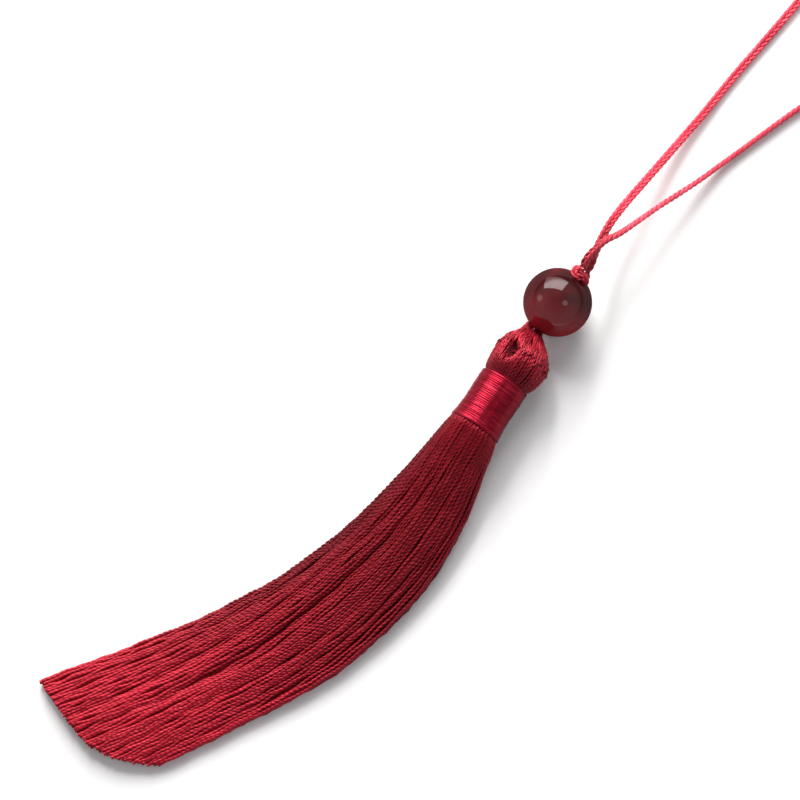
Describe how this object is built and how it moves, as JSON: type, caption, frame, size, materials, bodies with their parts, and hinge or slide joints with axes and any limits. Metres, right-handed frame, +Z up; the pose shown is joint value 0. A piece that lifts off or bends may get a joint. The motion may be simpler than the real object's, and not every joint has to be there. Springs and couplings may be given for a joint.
{
  "type": "tassel",
  "caption": "Flat-lying tassel of twisted threads with a round folded head, wound neck, stone bead and a long free hanging loop, for a bookmark, fan, key or pendant.",
  "frame": {"origin": "Under the middle of the tassel's box without its free loop, on the table it lies on", "axes": "+Z is up from the table, +Y runs along the neck from the skirt to the bead and the loop, +X is to the right of the neck seen from above"},
  "size_m": [0.0554, 0.1687, 0.0099],
  "materials": {
    "rayon_thread": "twisted rayon, satin",
    "wound_thread": "wound rayon, silky",
    "braided_cord": "flat braid",
    "red_agate": "polished stone"
  },
  "bodies": {
    "root": {"skirt": "rayon_thread", "binding": "wound_thread", "stem": "braided_cord", "bead": "red_agate", "knot": "braided_cord", "loop": "braided_cord"}
  },
  "joints": []
}
